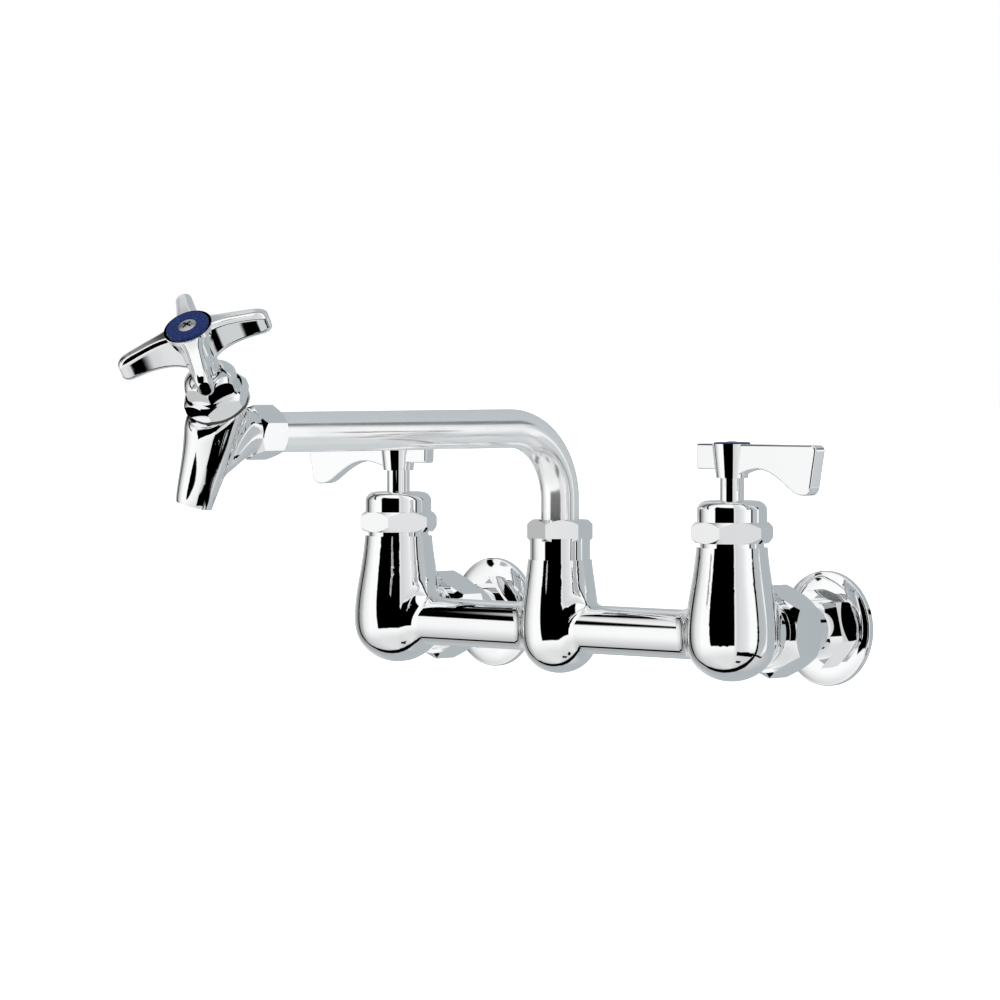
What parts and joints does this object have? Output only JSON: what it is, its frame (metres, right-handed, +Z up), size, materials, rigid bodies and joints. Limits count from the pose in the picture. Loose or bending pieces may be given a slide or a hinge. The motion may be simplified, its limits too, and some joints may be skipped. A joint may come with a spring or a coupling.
{
  "type": "wall-mounted kitchen faucet",
  "caption": "Wall-mounted two-handle mixing faucet with lever handles and a level swing spout that ends in a cross-handle shut-off valve.",
  "frame": {"origin": "on the wall plane, midway between the two supply inlets", "axes": "+X to the right of someone facing the wall, +Y into the wall, +Z up"},
  "size_m": [0.3056, 0.3176, 0.1712],
  "materials": {
    "chrome": "polished chrome plate on cast and turned brass",
    "spout_chrome": "polished chrome plate on drawn brass tube",
    "brass": "machined",
    "rubber": "moulded",
    "ceramic": "lapped ceramic",
    "nylon": "natural nylon",
    "fibre": "pressed black fibre",
    "packing": "graphited packing",
    "hot_index": "moulded red",
    "cold_index": "moulded blue",
    "steel_screw": "plated steel"
  },
  "bodies": {
    "faucet": {"faucet_body": "chrome", "spout_nut": "chrome", "glide_washer": "nylon", "left_bonnet_nut": "chrome", "right_bonnet_nut": "chrome", "left_bonnet_cap": "chrome", "right_bonnet_cap": "chrome", "left_cartridge_housing": "brass", "right_cartridge_housing": "brass", "left_seat_seal": "rubber", "right_seat_seal": "rubber", "left_fixed_disc": "ceramic", "right_fixed_disc": "ceramic", "left_inlet_washer": "fibre", "right_inlet_washer": "fibre", "left_union_nut": "chrome", "right_union_nut": "chrome", "left_inlet_shank": "chrome", "right_inlet_shank": "chrome", "left_inlet_flange": "chrome", "right_inlet_flange": "chrome"},
    "spout": {"spout_tube": "spout_chrome", "swivel_sleeve": "brass", "spout_o_rings": "rubber", "end_adapter": "chrome", "valve_body": "chrome", "valve_seat": "brass", "end_bonnet": "chrome", "bonnet_gasket": "fibre", "packing_nut": "chrome", "packing_ring": "packing"},
    "left_lever": {"left_moving_disc": "ceramic", "left_valve_stem": "chrome", "left_stem_o_ring": "rubber", "left_lever_handle": "chrome", "left_lever_index": "hot_index", "left_lever_screw": "steel_screw"},
    "right_lever": {"right_moving_disc": "ceramic", "right_valve_stem": "chrome", "right_stem_o_ring": "rubber", "right_lever_handle": "chrome", "right_lever_index": "cold_index", "right_lever_screw": "steel_screw"},
    "valve_washer": {"seat_washer": "rubber"},
    "valve_spindle": {"end_stem": "chrome", "washer_screw": "brass", "cross_handle": "chrome", "cross_index": "cold_index", "cross_screw": "steel_screw"}
  },
  "joints": [
    {"name": "spout_swing", "type": "hinge", "parent": "faucet", "child": "spout", "pos_m": [0, -0.065, 0.03], "axis": [0, 0, 1], "range_deg": [-50, 50]},
    {"name": "left_lever_turn", "type": "hinge", "parent": "faucet", "child": "left_lever", "pos_m": [-0.1016, -0.065, 0.05], "axis": [0, 0, 1], "range_deg": [0, 90]},
    {"name": "right_lever_turn", "type": "hinge", "parent": "faucet", "child": "right_lever", "pos_m": [0.1016, -0.065, 0.05], "axis": [0, 0, 1], "range_deg": [-90, 0]},
    {"name": "valve_rise", "type": "slide", "parent": "spout", "child": "valve_washer", "axis": [0.2018, -0.6129, 0.7639], "range_m": [0, 0.0036]},
    {"name": "valve_turn", "type": "hinge", "parent": "valve_washer", "child": "valve_spindle", "pos_m": [0, -0.2649, 0.08805], "axis": [0.2018, -0.6129, 0.7639], "range_deg": [0, 720]}
  ],
  "couplings": [
    {"joint": "valve_rise", "follows": "valve_turn", "m_per_rad": 0.00028648}
  ]
}
